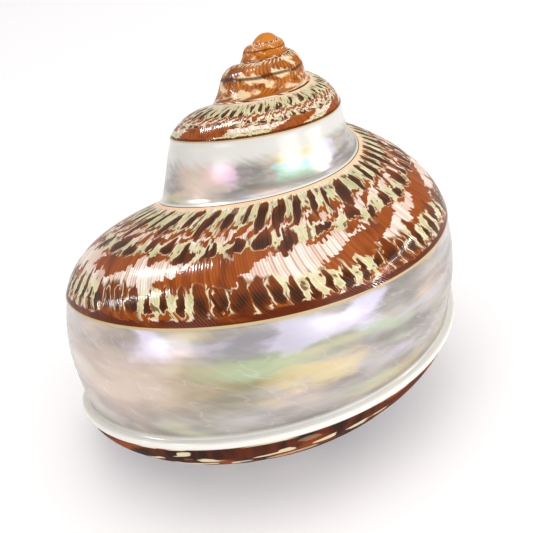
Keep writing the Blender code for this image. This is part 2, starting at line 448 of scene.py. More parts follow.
@dataclass
class ShellBody:
    """The whole shell as one closed mesh with its growth coordinates."""

    growth: Growth = field(default_factory=Growth)
    bands: Bands = field(default_factory=Bands)
    relief: Relief = field(default_factory=Relief)
    stance: Stance = field(default_factory=Stance)
    lines_per_turn: int = 384
    fine_from: tuple[tuple[float, int], ...] = ((2.28, 2), (3.28, 4))
    wrap_lines: int = 294
    marked_levels: tuple[float, ...] = (0.15, 0.35, 0.6, 0.85, 1.1, 1.4, 1.75, 2.1, 2.5, 2.9,
                                        3.3, 3.7, 4.1, 4.5, 4.9, 5.3, 5.6, 5.85, 6.0)
    pearl_levels: tuple[float, ...] = (6.08, 6.2, 6.35, 6.52, 6.7, 6.88, 7.06, 7.24, 7.42,
                                       7.58, 7.72, 7.84, 7.93, 8.0)
    cord_past: tuple[float, ...] = (0.002, 0.006, 0.010, 0.015, 0.020, 0.026, 0.031, 0.036,
                                    0.040, 0.042)
    cord_at: tuple[float, ...] = (0.0, 0.006, 0.020, 0.034, 0.042)
    cord_out: tuple[float, ...] = (0.004, 0.024, 0.030, 0.020, 0.004)
    cord_turns: float = 0.995
    cord_rise: float = 0.09
    cord_end: float = 0.03
    base_out: tuple[float, float] = (0.92, 0.22)
    base_steps: int = 26
    pillar_foot: tuple[float, float, float] = (-0.2, -0.2, -55.8)
    pad_reach: float = 12.0
    apex_depth: float = 1.12
    dome_rings: tuple[float, ...] = (0.88, 0.72, 0.54, 0.34, 0.16)
    dome_bulge: float = 0.1
    dome_power: float = 2.2
    lip_wall: float = 2.3
    parietal_wall: float = 1.1
    pillar_wall: float = 3.4
    pillar_spread: float = 20.0
    lip_round: float = 0.55
    lip_section: tuple[tuple[float, float], ...] = (
        (0.1, 0.5), (0.25, 0.85), (0.4, 0.98), (0.55, 1.0), (0.7, 0.85), (0.85, 0.6), (0.95, 0.25))
    lip_easing: int = 8
    lip_blend: float = 4.0
    lip_ahead: float = 0.002
    lip_fade: tuple[float, float] = (7.0, 20.0)
    wall_behind: float = 3.0 / 384.0
    pearly_rings: int = 3
    mouth_roundness: float = 1.14
    mouth_easing: int = 70
    hollow_turns: float = 0.85
    hollow_rings: int = 52
    hollow_shrink: float = 0.28
    points: list[np.ndarray] = field(default_factory=list)
    coords: list[np.ndarray] = field(default_factory=list)
    faces: list[tuple[int, ...]] = field(default_factory=list)
    zones: list[Zone] = field(default_factory=list)
    charts: list[int] = field(default_factory=list)
    chart: Chart = Chart.STRIP
    count: int = 0
    coarse: np.ndarray = field(init=False)
    first_open: int = field(init=False)
    top_row: np.ndarray = field(init=False)
    open_row: np.ndarray = field(init=False)
    first_column: list[int] = field(init=False)
    lip_column: list[int] = field(init=False)
    wall_column: list[int] = field(init=False)
    foot: int = field(init=False)
    mouth_spots: np.ndarray = field(init=False)

    def add(self, points: np.ndarray, line: np.ndarray, level: np.ndarray | float) -> np.ndarray:
        """Add points to the mesh.

        Args:
            points: places in the shell's own frame.
            line: the turn of the growth line of each.
            level: the level of each.

        Returns:
            Their indices.
        """
        points = np.asarray(points, float).reshape(-1, 3)
        level = np.broadcast_to(np.asarray(level, float), (len(points),))
        line = np.broadcast_to(np.asarray(line, float), (len(points),))
        self.points.append(points)
        self.coords.append(np.stack((line, level), axis=-1))
        start = self.count
        self.count += len(points)
        return np.arange(start, self.count)

    def add_face(self, corners: list[int], zone: Zone) -> None:
        """Add one face, without its repeated corners.

        Args:
            corners: indices of its corners, in order.
            zone: its finish.
        """
        face = tuple(dict.fromkeys(int(corner) for corner in corners))
        if len(face) > 2:
            self.faces.append(face)
            self.zones.append(zone)
            self.charts.append(self.chart.value)

    def add_strip(self, upper: np.ndarray, lower: np.ndarray, zone: Zone) -> None:
        """Join two rows of the same number of points with quads.

        Args:
            upper: the row nearer to the apex.
            lower: the row below it.
            zone: their finish.
        """
        for place in range(len(upper) - 1):
            self.add_face([upper[place], upper[place + 1], lower[place + 1], lower[place]], zone)

    def line_turns(self) -> tuple[np.ndarray, np.ndarray]:
        """Turns of the growth lines that the mesh has.

        Returns:
            The turns of the fine lines, and which of them the smooth bands keep.
        """
        coarse_count = round((self.growth.last_turn - self.growth.first_turn) * self.lines_per_turn)
        coarse = self.growth.first_turn + np.arange(coarse_count + 1) / self.lines_per_turn
        fine: list[float] = []
        kept: list[int] = []
        for turn, following in zip(coarse[:-1], coarse[1:]):
            kept.append(len(fine))
            parts = 1
            for start, split in self.fine_from:
                parts = split if turn >= start - HAIR else parts
            fine += [turn + (following - turn) * part / parts for part in range(parts)]
        kept.append(len(fine))
        fine.append(float(coarse[-1]))
        return np.array(fine), np.array(kept)

    def strip_row(self, line: np.ndarray, level: float) -> np.ndarray:
        """Points of one level of the strip.

        Args:
            line: turns of the growth lines.
            level: the level.

        Returns:
            A point on each growth line.
        """
        share = self.bands.share(line, level)
        sunk = self.relief.thread_depth(line, level) + self.relief.ground(line, share, level)
        return self.growth.outline(self.growth.lagged(line, share), share, 0.0, sunk)

    def build_strip(self) -> None:
        """Add the spiral strip from the apex to the mouth, glued along the suture."""
        fine, kept = self.line_turns()
        coarse = fine[kept]
        self.coarse = coarse
        self.first_open = len(coarse) - 1 - self.wrap_lines
        top = self.add(self.strip_row(coarse, 0.0), coarse, 0.0)
        rows = [self.add(self.strip_row(fine, level), fine, level) for level in self.marked_levels]
        for place in range(len(coarse) - 1):
            between = rows[0][kept[place]:kept[place + 1] + 1]
            self.add_face([top[place], top[place + 1], *between[::-1]], Zone.MARKED)
        for upper, lower in zip(rows, rows[1:]):
            self.add_strip(upper, lower, Zone.MARKED)
        pearl = [self.add(self.strip_row(coarse, level), coarse, level)
                 for level in self.pearl_levels[:-1]]
        for place in range(len(coarse) - 1):
            between = rows[-1][kept[place]:kept[place + 1] + 1]
            self.add_face([*between, pearl[0][place + 1], pearl[0][place]],
                          self.band_zone(coarse[place]))
        last = np.empty(len(coarse), int)
        last[:self.first_open + 1] = top[self.wrap_lines:]
        opened = coarse[self.first_open + 1:]
        last[self.first_open + 1:] = self.add(self.strip_row(opened, SUTURE_LEVEL), opened, SUTURE_LEVEL)
        pearl.append(last)
        for upper, lower in zip(pearl, pearl[1:]):
            for place in range(len(coarse) - 1):
                self.add_face([upper[place], upper[place + 1], lower[place + 1], lower[place]],
                              self.band_zone(coarse[place]))
        self.top_row = top
        self.first_column = [row[0] for row in rows] + [row[0] for row in pearl]
        self.lip_column = [top[-1]] + [row[-1] for row in rows] + [row[-1] for row in pearl]
        self.open_row = last[self.first_open:]

    def band_zone(self, turn: float) -> Zone:
        """The finish below the markings: pearl, once the polished band has begun."""
        return Zone.PEARL if turn > self.bands.to_middle[0] else Zone.MARKED

    def base_curve(self, line: np.ndarray) -> np.ndarray:
        """Cord and base of open growth lines, from the groove down to near the foot.

        Args:
            line: turns of the growth lines.

        Returns:
            Points by growth line and by step, without the foot.
        """
        growth = self.growth
        turn = np.asarray(line, float) - growth.lag_turns
        risen = smooth_step(turn - growth.last_turn + self.cord_turns, 0.0, self.cord_rise)
        risen = risen * smooth_step(growth.last_turn - growth.lag_turns - turn,
                                    -self.cord_end, self.cord_end)
        steps = []
        for past in self.cord_past:
            out = float(spline(self.cord_at, self.cord_out, past))
            steps.append(growth.outline(turn, 1.0 + past, out * risen))
        start = steps[-1]
        reach = np.hypot(start[:, 0], start[:, 1])
        first = growth.around(reach * self.base_out[0], start[:, 2] - reach * self.base_out[1], turn)
        up = self.stance.up
        level = growth.around(np.full_like(reach, self.pad_reach), np.zeros_like(reach), turn)
        level[:, 2] = -(level[:, 0] * up[0] + level[:, 1] * up[1]) / up[2]
        foot = np.array(self.pillar_foot)
        for step in range(1, self.base_steps):
            share = step / self.base_steps
            rest = 1.0 - share
            steps.append(rest ** 3 * start + 3.0 * rest * rest * share * first
                         + 3.0 * rest * share * share * (foot + level) + share ** 3 * foot)
        return np.stack(steps, axis=1)

    def build_base(self) -> None:
        """Add the cord and the base of the last whorl, down to the foot of the pillar."""
        lines = self.coarse[self.first_open:]
        curve = self.base_curve(lines)
        cords = len(self.cord_past)
        self.foot = int(self.add(np.array(self.pillar_foot), lines[-1], FOOT_LEVEL)[0])
        rows = [self.open_row]
        for step in range(curve.shape[1]):
            if step < cords:
                level = SUTURE_LEVEL + (CORD_LEVEL - SUTURE_LEVEL) * (step + 1) / cords
            else:
                level = CORD_LEVEL + (FOOT_LEVEL - CORD_LEVEL) * (step - cords + 1) / self.base_steps
            rows.append(self.add(curve[:, step], lines, level))
        for number, (upper, lower) in enumerate(zip(rows, rows[1:])):
            self.chart = Chart.CORD if number < cords else Chart.BASE
            self.add_strip(upper, lower, Zone.MARKED)
        for place in range(len(lines) - 1):
            self.add_face([rows[-1][place], rows[-1][place + 1], self.foot], Zone.MARKED)
        self.lip_column += [row[-1] for row in rows[1:]]
        self.wall_column = [row[0] for row in rows[:0:-1]]

    def build_apex(self) -> None:
        """Close the apex with a small dome."""
        self.chart = Chart.APEX
        loop = list(self.top_row[:self.wrap_lines]) + self.first_column[::-1]
        base = np.concatenate(self.points)[loop]
        line = np.concatenate(self.coords)[loop][:, 0]
        previous = np.array(loop)
        for size in self.dome_rings:
            ring = base * size
            ring[:, 2] = (-self.apex_depth + (base[:, 2] + self.apex_depth) * size ** self.dome_power
                          + self.dome_bulge * size * (1.0 - size))
            current = self.add(ring, line, DOME_LEVEL)
            self.add_ring(previous, current)
            previous = current
        tip = self.add(np.array((0.0, 0.0, -self.apex_depth)), line[0], DOME_LEVEL)[0]
        for place in range(len(previous)):
            following = (place + 1) % len(previous)
            self.add_face([previous[place], tip, previous[following]], Zone.MARKED)

    def add_ring(self, outer: np.ndarray, inner: np.ndarray, zone: Zone = Zone.MARKED) -> None:
        """Join two closed loops of the same number of points with quads.

        Args:
            outer: the loop outside.
            inner: the loop inside it.
            zone: their finish.
        """
        for place in range(len(outer)):
            following = (place + 1) % len(outer)
            self.add_face([outer[place], inner[place], inner[following], outer[following]], zone)

    def build_mouth(self) -> None:
        """Add the rounded lip and the hollow that runs up the last whorl."""
        self.chart = Chart.MOUTH
        edge = np.array(self.lip_column + [self.foot] + self.wall_column)
        outer = np.concatenate(self.points)[edge]
        turns = np.concatenate(self.coords)[edge][:, 0]
        lip = len(self.lip_column)
        along = np.concatenate(((0.0,), np.cumsum(np.linalg.norm(np.diff(outer, axis=0), axis=1))))
        to_foot = np.abs(along - along[lip])
        walls = np.where(np.arange(len(edge)) < lip, self.lip_wall, self.parietal_wall)
        walls = walls + (self.pillar_wall - walls) * np.clip(1.0 - to_foot / self.pillar_spread, 0.0, 1.0)
        fade = smooth_step(along[:lip], 0.0, self.lip_fade[0])
        fade = fade * smooth_step(to_foot[:lip], 0.0, self.lip_fade[1])
        forward = np.zeros_like(outer)
        forward[:lip] = self.ahead(outer[:lip]) * fade[:, None]
        first_line = self.coarse[self.first_open:self.first_open + 1]
        behind = self.base_curve(first_line - self.wall_behind)[0]
        retreat = np.zeros_like(outer)
        retreat[lip + 1:] = behind[::-1] - outer[lip + 1:]
        self.add_hollow(edge, turns, self.mouth_rings(outer, forward, walls, retreat))

    def ahead(self, points: np.ndarray) -> np.ndarray:
        """Which way the lip would grow next.

        Args:
            points: points of the lip.

        Returns:
            A step of length 1 from each point.
        """
        turn = 0.5 - np.arctan2(points[:, 1], points[:, 0]) / (2.0 * math.pi) + self.lip_ahead
        reach = np.hypot(points[:, 0], points[:, 1])
        step = self.growth.around(reach, points[:, 2], turn) - points
        return step / np.linalg.norm(step, axis=1)[:, None]

    def add_hollow(self, edge: np.ndarray, turns: np.ndarray, rings: list[np.ndarray]) -> None:
        """Join the rings of the lip and the hollow, and close the hollow's end.

        Args:
            edge: indices of the mouth's outer edge.
            turns: turn of the growth line at each of its points.
            rings: the rings from the edge inwards.
        """
        around = np.arange(len(edge)) / len(edge)
        spots = [(edge, around)]
        for number, ring in enumerate(rings):
            pearly = number >= len(self.lip_section) - self.pearly_rings
            current = self.add(ring, turns, HOLLOW_LEVEL if pearly else LIP_LEVEL)
            self.add_ring(spots[-1][0], current, Zone.INNER)
            spots.append((current, around))
        last = spots[-1][0]
        centre = np.concatenate(self.points)[last].mean(axis=0)
        end = self.add(centre, turns[0], HOLLOW_LEVEL)[0]
        for place in range(len(edge)):
            following = (place + 1) % len(edge)
            self.add_face([last[place], end, last[following]], Zone.INNER)
        spots.append((np.array([end]), np.array([0.5])))
        self.mouth_spots = np.zeros((self.count, 2))
        for number, (indices, place) in enumerate(spots):
            self.mouth_spots[indices, 0] = place
            self.mouth_spots[indices, 1] = number

    def mouth_rings(self, outer: np.ndarray, forward: np.ndarray, walls: np.ndarray,
                    retreat: np.ndarray) -> list[np.ndarray]:
        """Rings of the lip and the hollow.

        Args:
            outer: the mouth's outer edge.
            forward: which way the lip grows at each point.
            walls: thickness at each point.
            retreat: how far the inner wall draws back at each point.

        Returns:
            The rings from the edge inwards.
        """
        centre = outer.mean(axis=0)
        spokes = outer - centre
        reach = np.linalg.norm(spokes, axis=1)
        limit = self.mouth_roundness * np.median(reach - walls)
        inner_reach = np.minimum(reach - walls, limit)
        inner = eased(centre + spokes * (inner_reach / reach)[:, None] + retreat, self.mouth_easing)
        rim = eased(forward * (walls * self.lip_round)[:, None], self.lip_easing)
        edge = eased(outer, self.lip_easing)
        rings = []
        for across, proud in self.lip_section:
            share = min(1.0, across * self.lip_blend)
            start = outer * (1.0 - share) + edge * share
            rings.append(start * (1.0 - across) + inner * across + rim * proud)
        rings.append(inner)
        top_r, top_z = self.growth.suture(np.array(self.growth.last_turn))
        for ring in range(1, self.hollow_rings + 1):
            back = self.hollow_turns * ring / self.hollow_rings
            radius, height = self.growth.suture(np.array(self.growth.last_turn - back))
            size = np.array((radius / top_r, radius / top_r, height / top_z))
            narrow = 1.0 - self.hollow_shrink * ring / self.hollow_rings
            turned = 2.0 * math.pi * back
            matrix = np.array(((math.cos(turned), -math.sin(turned), 0.0),
                               (math.sin(turned), math.cos(turned), 0.0),
                               (0.0, 0.0, 1.0)))
            rings.append(((centre + (inner - centre) * narrow) * size) @ matrix.T)
        return rings

    def inside_box(self, points: np.ndarray, low: Vector, high: Vector) -> np.ndarray:
        """Draw the points in by a hair where they pass the part's own box.

        Args:
            points: the standing points, in mm.
            low: the box's lowest corner, in metres.
            high: the box's highest corner, in metres.

        Returns:
            The points, inside the box.
        """
        low_mm = np.array(low) / MM
        high_mm = np.array(high) / MM
        middle = (low_mm + high_mm) / 2.0
        reach = np.maximum(points.max(axis=0) - middle, middle - points.min(axis=0))
        size = np.minimum(1.0, (high_mm - low_mm) / 2.0 / reach)
        LOG.info("drawn in by %s", np.round(1.0 - size, 5))
        return middle + (points - middle) * size

    def make(self) -> bpy.types.Object:
        """Build the mesh and its maps.

        Returns:
            The shell's object, standing where the part stands.
        """
        self.build_strip()
        self.build_base()
        self.build_apex()
        self.build_mouth()
        low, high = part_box(NODE)
        placed = self.inside_box(self.stance.place(np.concatenate(self.points)), low, high) * MM
        mesh = bpy.data.meshes.new("banded_shell")
        mesh.from_pydata(placed.tolist(), [], self.faces)
        mesh.polygons.foreach_set("material_index", [zone.value for zone in self.zones])
        self.add_maps(mesh)
        mesh.shade_smooth()
        shell = bpy.data.objects.new("banded_shell", mesh)
        bpy.context.scene.collection.objects.link(shell)
        LOG.info("shell: %d points, %d faces", len(placed), len(self.faces))
        return shell

    def add_maps(self, mesh: bpy.types.Mesh) -> None:
        """Give the mesh its map of growth coordinates and its flat map for the bake.

        Args:
            mesh: the shell's mesh.
        """
        corners = np.empty(len(mesh.loops), np.int32)
        starts = np.empty(len(mesh.polygons), np.int32)
        totals = np.empty(len(mesh.polygons), np.int32)
        mesh.loops.foreach_get("vertex_index", corners)
        mesh.polygons.foreach_get("loop_start", starts)
        mesh.polygons.foreach_get("loop_total", totals)
        owner = np.repeat(np.arange(len(starts)), totals)
        growth = np.concatenate(self.coords)[corners]
        highest = np.maximum.reduceat(growth[:, 1], starts)[owner]
        # The whorl above a suture ends on the first row of the next one and reads it as its last level
        glued = (growth[:, 1] == 0.0) & (highest > SUTURE_LEVEL - 1.0)
        growth[glued, 0] -= self.wrap_lines / self.lines_per_turn
        growth[glued, 1] = SUTURE_LEVEL
        own = np.concatenate(self.points)[corners]
        laid = BakeMap().lay(np.array(self.charts), starts, owner, growth, own, self.mouth_spots[corners])
        for name, places in ((GROWTH_MAP, growth), (BAKE_MAP, laid)):
            chart = mesh.uv_layers.new(name=name)
            chart.data.foreach_set("uv", places.astype(np.float32).ravel())


class Field:
    """A value that varies over a surface: sums on it become nodes of a material's graph."""

    def __init__(self, graph: "Graph", socket: bpy.types.NodeSocket) -> None:
        """Wrap an output socket of the graph."""
        self.graph = graph
        self.socket = socket

    def __add__(self, other: "Field | float") -> "Field":
        """The sum of both."""
        return self.graph.math("ADD", self, other)

    def __sub__(self, other: "Field | float") -> "Field":
        """This less the other."""
        return self.graph.math("SUBTRACT", self, other)

    def __rsub__(self, other: float) -> "Field":
        """The other less this."""
        return self.graph.math("SUBTRACT", other, self)

    def __mul__(self, other: "Field | float") -> "Field":
        """The product of both."""
        return self.graph.math("MULTIPLY", self, other)

    def __truediv__(self, other: "Field | float") -> "Field":
        """This over the other."""
        return self.graph.math("DIVIDE", self, other)

    def floor(self) -> "Field":
        """The whole number below."""
        return self.graph.math("FLOOR", self, 0.0)

    def fract(self) -> "Field":
        """What is left above the whole number below."""
        return self.graph.math("FRACT", self, 0.0)

    def square(self) -> "Field":
        """The value times itself."""
        return self.graph.math("MULTIPLY", self, self)

    def wave(self) -> "Field":
        """0 at each whole number and 1 midway between."""
        return 0.5 - self.graph.math("COSINE", self * (2.0 * math.pi), 0.0) * 0.5

    def least(self, other: "Field | float") -> "Field":
        """The lesser of both."""
        return self.graph.math("MINIMUM", self, other)

    def most(self, other: "Field | float") -> "Field":
        """The greater of both."""
        return self.graph.math("MAXIMUM", self, other)

    def rise(self, low: float, high: float) -> "Field":
        """Smooth rise from 0 to 1, or fall where high is the lower.

        Args:
            low: the value that gives 0.
            high: the value that gives 1.

        Returns:
            A share from 0 to 1.
        """
        node = self.graph.node("ShaderNodeMapRange")
        node.interpolation_type = "SMOOTHSTEP"
        self.graph.feed(node.inputs["Value"], self)
        falls = high < low
        node.inputs["From Min"].default_value = high if falls else low
        node.inputs["From Max"].default_value = low if falls else high
        node.inputs["To Min"].default_value = 1.0 if falls else 0.0
        node.inputs["To Max"].default_value = 0.0 if falls else 1.0
        return Field(self.graph, node.outputs["Result"])

    def within(self, low: float, high: float, soft: float) -> "Field":
        """1 from low to high and 0 outside, with soft ends."""
        return self.rise(low - soft, low + soft) * self.rise(high + soft, high - soft)


Tint = Field | Colour


@dataclass(frozen=True)
class Cloud:
    """Cloudy noise: its changes in a turn and in a level, its seed, its height and its detail."""

    per_turn: float
    per_level: float
    seed: float
    height: float = 1.0
    detail: float = 2.0


class Graph:
    """A material's node graph."""

    def __init__(self, name: str) -> None:
        """Start a material with a Principled shader.

        Args:
            name: the material's name.
        """
        self.material = bpy.data.materials.new(name)
        self.material.use_nodes = True
        self.tree = self.material.node_tree
        self.shader = self.tree.nodes["Principled BSDF"]

    def node(self, kind: str) -> bpy.types.Node:
        """A new node of a kind."""
        return self.tree.nodes.new(kind)

    def feed(self, socket: bpy.types.NodeSocket, value: Tint | float) -> None:
        """Link a field to a socket, or set the socket's value.

        Args:
            socket: the socket that takes it.
            value: a field, a colour or a number.
        """
        if isinstance(value, Field):
            self.tree.links.new(value.socket, socket)
        else:
            socket.default_value = value

    def math(self, operation: str, first: Field | float, second: Field | float) -> Field:
        """One step of arithmetic.

        Args:
            operation: the math node's operation.
            first: its first value.
            second: its second value.

        Returns:
            The result.
        """
        node = self.node("ShaderNodeMath")
        node.operation = operation
        self.feed(node.inputs[0], first)
        self.feed(node.inputs[1], second)
        return Field(self, node.outputs[0])

    def blend(self, share: Field | float, first: Tint, second: Tint) -> Field:
        """Blend two colours.

        Args:
            share: how much of the second shows, from 0 to 1.
            first: the colour where share is 0.
            second: the colour where share is 1.

        Returns:
            The blended colour.
        """
        node = self.node("ShaderNodeMix")
        node.data_type = "RGBA"
        self.feed(node.inputs[0], share)
        self.feed(node.inputs[6], first)
        self.feed(node.inputs[7], second)
        return Field(self, node.outputs[2])

    def join(self, x: Field | float, y: Field | float, z: float) -> Field:
        """Join three parts to a vector.

        Args:
            x: its first part.
            y: its second part.
            z: its third part.

        Returns:
            The vector.
        """
        node = self.node("ShaderNodeCombineXYZ")
        for socket, value in zip(node.inputs, (x, y, z)):
            self.feed(socket, value)
        return Field(self, node.outputs[0])

    def noise(self, turn: Field, level: Field, cloud: Cloud) -> Field:
        """Cloudy noise, up to about a quarter of its height to both sides of 0.

        Args:
            turn: the first coordinate, in turns.
            level: the second coordinate, in levels.
            cloud: which noise.

        Returns:
            The noise.
        """
        node = self.node("ShaderNodeTexNoise")
        place = self.join(turn * cloud.per_turn, level * cloud.per_level, cloud.seed)
        self.feed(node.inputs["Vector"], place)
        node.inputs["Scale"].default_value = 1.0
        node.inputs["Detail"].default_value = cloud.detail
        return (Field(self, node.outputs["Fac"]) - 0.5) * cloud.height

    def draw(self, value: Field, seed: float) -> Field:
        """A random number for each whole number.

        Args:
            value: the whole numbers.
            seed: a seed for the draws.

        Returns:
            Numbers from 0 to 1.
        """
        node = self.node("ShaderNodeTexWhiteNoise")
        node.noise_dimensions = "2D"
        self.feed(node.inputs["Vector"], self.join(value, seed, 0.0))
        return Field(self, node.outputs["Value"])

    def growth(self) -> tuple[Field, Field]:
        """Read the growth coordinates of the surface.

        Returns:
            The turn and the level.
        """
        chart = self.node("ShaderNodeUVMap")
        chart.uv_map = GROWTH_MAP
        parts = self.node("ShaderNodeSeparateXYZ")
        self.tree.links.new(chart.outputs[0], parts.inputs[0])
        return Field(self, parts.outputs[0]), Field(self, parts.outputs[1])


@dataclass(frozen=True)
class Row:
    """A row of dark blotches, each with a rust tail that sweeps back below it."""

    level: float
    per_turn: float
    half_width: float
    half_height: float
    slant: float
    tail_level: float
    tail_slant: float
    tail_height: float
    seed: float


@dataclass(frozen=True)
class Flame:
    """A large rust flame, by its turn and level, slanted by so many turns a level."""

    turn: float
    level: float
    half_turn: float
    half_level: float
    slant: float


@dataclass(frozen=True)
class Skin:
    """The growth coordinates of the marked layer, plain and with the roughness of its edges.

    The strand is the turn in the middle of the groove that a point lies in, and own is a number
    of that groove, from -0.5 to 0.5. Groove is 0 on the crests of the threads and 1 deepest
    between them. Ragged is the level with jagged edges, and bent is the turn with wavy ones.
    """

    turn: Field
    level: Field
    strand: Field
    own: Field
    groove: Field
    ragged: Field
    bent: Field


@dataclass(frozen=True)
class MarkedFinish:
    """The glossy outer layer: rows of brown blotches, rust flames and fine growth threads."""

    name: str = "marked_shell"
    dark: Colour = srgb(62, 30, 8)
    brown: Colour = srgb(102, 44, 2)
    rust: Colour = srgb(140, 62, 0)
    rust_light: Colour = srgb(170, 88, 20)
    umber: Colour = srgb(92, 34, 4)
    green: Colour = srgb(182, 176, 126)
    cream: Colour = srgb(226, 216, 178)
    pale: Colour = srgb(244, 236, 222)
    rose: Colour = srgb(236, 210, 194)
    # Darker rose: painted shade in the grooves between threads, and a random tone on some threads
    rose_groove_shade: Colour = srgb(172, 108, 84)
    peach: Colour = srgb(248, 204, 158)
    buff: Colour = srgb(196, 174, 130)
    white: Colour = srgb(232, 229, 222)
    roughness: float = 0.13
    base_roughness: float = 0.8
    gloss: float = 0.18
    threads: float = 384.0
    grown_turns: tuple[float, float] = (3.05, 3.2)
    spire_turns: tuple[float, float] = (2.3, 2.24)
    rows: tuple[Row, ...] = (
        Row(1.00, 46.0, 0.27, 0.55, 0.34, 1.58, 2.2, 0.34, 1.0),
        Row(2.12, 40.0, 0.31, 0.34, 0.45, 2.44, 1.4, 0.26, 2.0),
        Row(4.15, 74.0, 0.26, 0.66, 0.65, 4.7, 1.0, 0.34, 3.0),
    )
    low_row_level: float = 3.0
    row_drift: float = 3.0
    early_height: float = 0.5
    flames: tuple[Flame, ...] = (
        Flame(3.915, 2.75, 0.024, 0.50, 0.035),
        Flame(3.812, 2.98, 0.035, 0.68, 0.045),
        Flame(3.686, 3.15, 0.025, 0.62, 0.062),
        Flame(3.568, 2.75, 0.032, 0.90, 0.055),
        Flame(2.900, 3.50, 0.052, 1.60, 0.012),
        Flame(2.722, 3.90, 0.036, 1.60, 0.022),
        Flame(2.600, 4.10, 0.038, 1.50, 0.022),
    )
    placed: tuple[tuple[float, float], ...] = ((2.52, 2.98), (3.51, 3.96))
    cleared: float = 9.0
    flames_per_turn: float = 8.8
    flame_level: float = 2.95
    flame_slant: float = 0.55
    flame_half_width: float = 0.27
    flame_half_height: float = 0.85
    foot_shift: float = 0.012
    foot_width: float = 0.12
    foot_levels: tuple[float, float, float] = (3.5, 5.0, 0.1)
    loop_levels: tuple[float, float, float] = (3.6, 4.8, 0.1)
    green_bands: tuple[tuple[float, float, float], ...] = (
        (0.5, 1.5, 0.18), (1.85, 2.5, 0.14), (3.55, 4.8, 0.18))
    low_edge: tuple[float, float] = (4.80, 4.95)
    umber_edge: tuple[float, float] = (5.40, 5.46)
    buff_edge: tuple[float, float] = (5.48, 5.56)
    rim_edge: tuple[float, float] = (0.48, 0.3)
    seam_edge: tuple[float, float] = (0.10, 0.06)
    cord_edge: tuple[float, float] = (7.9, 7.95)
    base_edge: tuple[float, float] = (8.75, 8.85)
    matt_edge: tuple[float, float] = (8.7, 8.9)
    tall_turns: tuple[float, float] = (3.0, 3.3)
    ragged_cloud: Cloud = Cloud(55.0, 1.5, 6.0, 0.9)
    bent_cloud: Cloud = Cloud(75.0, 0.8, 7.0, 0.012)
    tone_cloud: Cloud = Cloud(22.0, 0.7, 9.0)
    green_cloud: Cloud = Cloud(60.0, 1.5, 22.0, 2.0)
    fleck_cloud: Cloud = Cloud(170.0, 2.2, 45.0)
    rust_cloud: Cloud = Cloud(70.0, 0.6, 21.0)
    flame_drift: Cloud = Cloud(3.0, 0.0, 8.0, 0.5, 1.0)
    flame_cloud: Cloud = Cloud(40.0, 1.2, 4.0, 1.2, 3.0)
    foot_cloud: Cloud = Cloud(30.0, 1.0, 44.0, 0.02)
    low_cloud: Cloud = Cloud(12.0, 0.0, 23.0, 0.8)
    band_cloud: Cloud = Cloud(30.0, 1.0, 24.0)
    rim_cloud: Cloud = Cloud(90.0, 0.0, 25.0, 0.5)

    def skin(self, g: Graph) -> Skin:
        """The coordinates of the layer.

        Args:
            g: the graph.

        Returns:
            The plain ones and the rough ones.
        """
        turn, level = g.growth()
        thread = turn * self.threads
        own = g.draw(thread.floor(), 5.0) - 0.5
        return Skin(
            turn=turn,
            level=level,
            strand=(thread.floor() + 0.5) / self.threads,
            own=own,
            groove=thread.wave(),
            ragged=level + own * 0.2 + g.noise(turn, level, self.ragged_cloud),
            bent=turn + g.noise(turn, level, self.bent_cloud),
        )

    def ground(self, g: Graph, skin: Skin) -> tuple[Field, Field]:
        """Colour between the marks: rose ribs with painted shade in their grooves, and a greenish cream
        where the blotches stand.

        Args:
            g: the graph.
            skin: the layer's coordinates.

        Returns:
            The colour, and where it is the greenish cream.
        """
        tone = g.noise(skin.strand, skin.level, self.tone_cloud)
        ribs = g.blend((tone + skin.own * 0.5).rise(-0.12, 0.2), self.pale, self.rose)
        # Darker rose in the grooves between threads is painted shade; it also varies at random from
        # thread to thread.
        ribs = g.blend(skin.groove * 0.48 + skin.own * 0.4, ribs, self.rose_groove_shade)
        greens = skin.ragged.within(*self.green_bands[0])
        for band in self.green_bands[1:]:
            greens = greens.most(skin.ragged.within(*band))
        shaded = g.noise(skin.turn, skin.level, self.green_cloud)
        green = g.blend(shaded + skin.groove * 0.3 + skin.own * 0.5 + 0.3, self.green, self.cream)
        fleck = g.noise(skin.bent, skin.level, self.fleck_cloud).rise(0.07, 0.12)
        green = g.blend(fleck * 0.85, green, self.brown)
        return g.blend(greens, ribs, green), greens

    def rusts(self, g: Graph, skin: Skin) -> Field:
        """Colour of the flames and tails.

        Args:
            g: the graph.
            skin: the layer's coordinates.

        Returns:
            Rust, lighter and darker from thread to thread.
        """
        rust = g.blend(skin.groove * 0.3 + skin.own * 0.8 + 0.1, self.rust, self.rust_light)
        darker = g.noise(skin.strand, skin.level, self.rust_cloud).rise(-0.02, 0.25)
        return g.blend(darker, rust, self.brown)

    def blotches(self, g: Graph, skin: Skin, wide: Field, row: Row) -> tuple[Field, Field]:
        """Masks of one row of blotches.

        Args:
            g: the graph.
            skin: the layer's coordinates.
            wide: how much wider the blotches are here.
            row: the row.

        Returns:
            How deep inside a blotch a point is, and how deep inside a rust tail.
        """
        turn = skin.bent
        level = skin.ragged
        lift = level - row.level
        drift = g.noise(turn, level, Cloud(7.0, 0.0, row.seed, self.row_drift, 1.0))
        place = turn * row.per_turn + drift
        straight = place - lift * row.slant
        cell = straight.floor()
        size = g.draw(cell, row.seed) * 0.6 + 0.7
        off = (straight.fract() - 0.5) / (size * (wide + row.half_width))
        tall = (lift - (g.draw(cell, row.seed + 0.5) - 0.5) * 0.4) / (size * row.half_height)
        tall = tall / (turn.rise(*self.tall_turns) * (1.0 - self.early_height) + self.early_height)
        blot = 1.0 - (off.square() + tall.square())
        below = level - row.tail_level
        swept = place - below * row.tail_slant - (row.tail_level - row.level) * row.slant
        back = (swept.fract() - 0.5) / (0.34 - below * 0.3)
        tail = 1.0 - (back.square() + (below / row.tail_height).square())
        return blot, tail

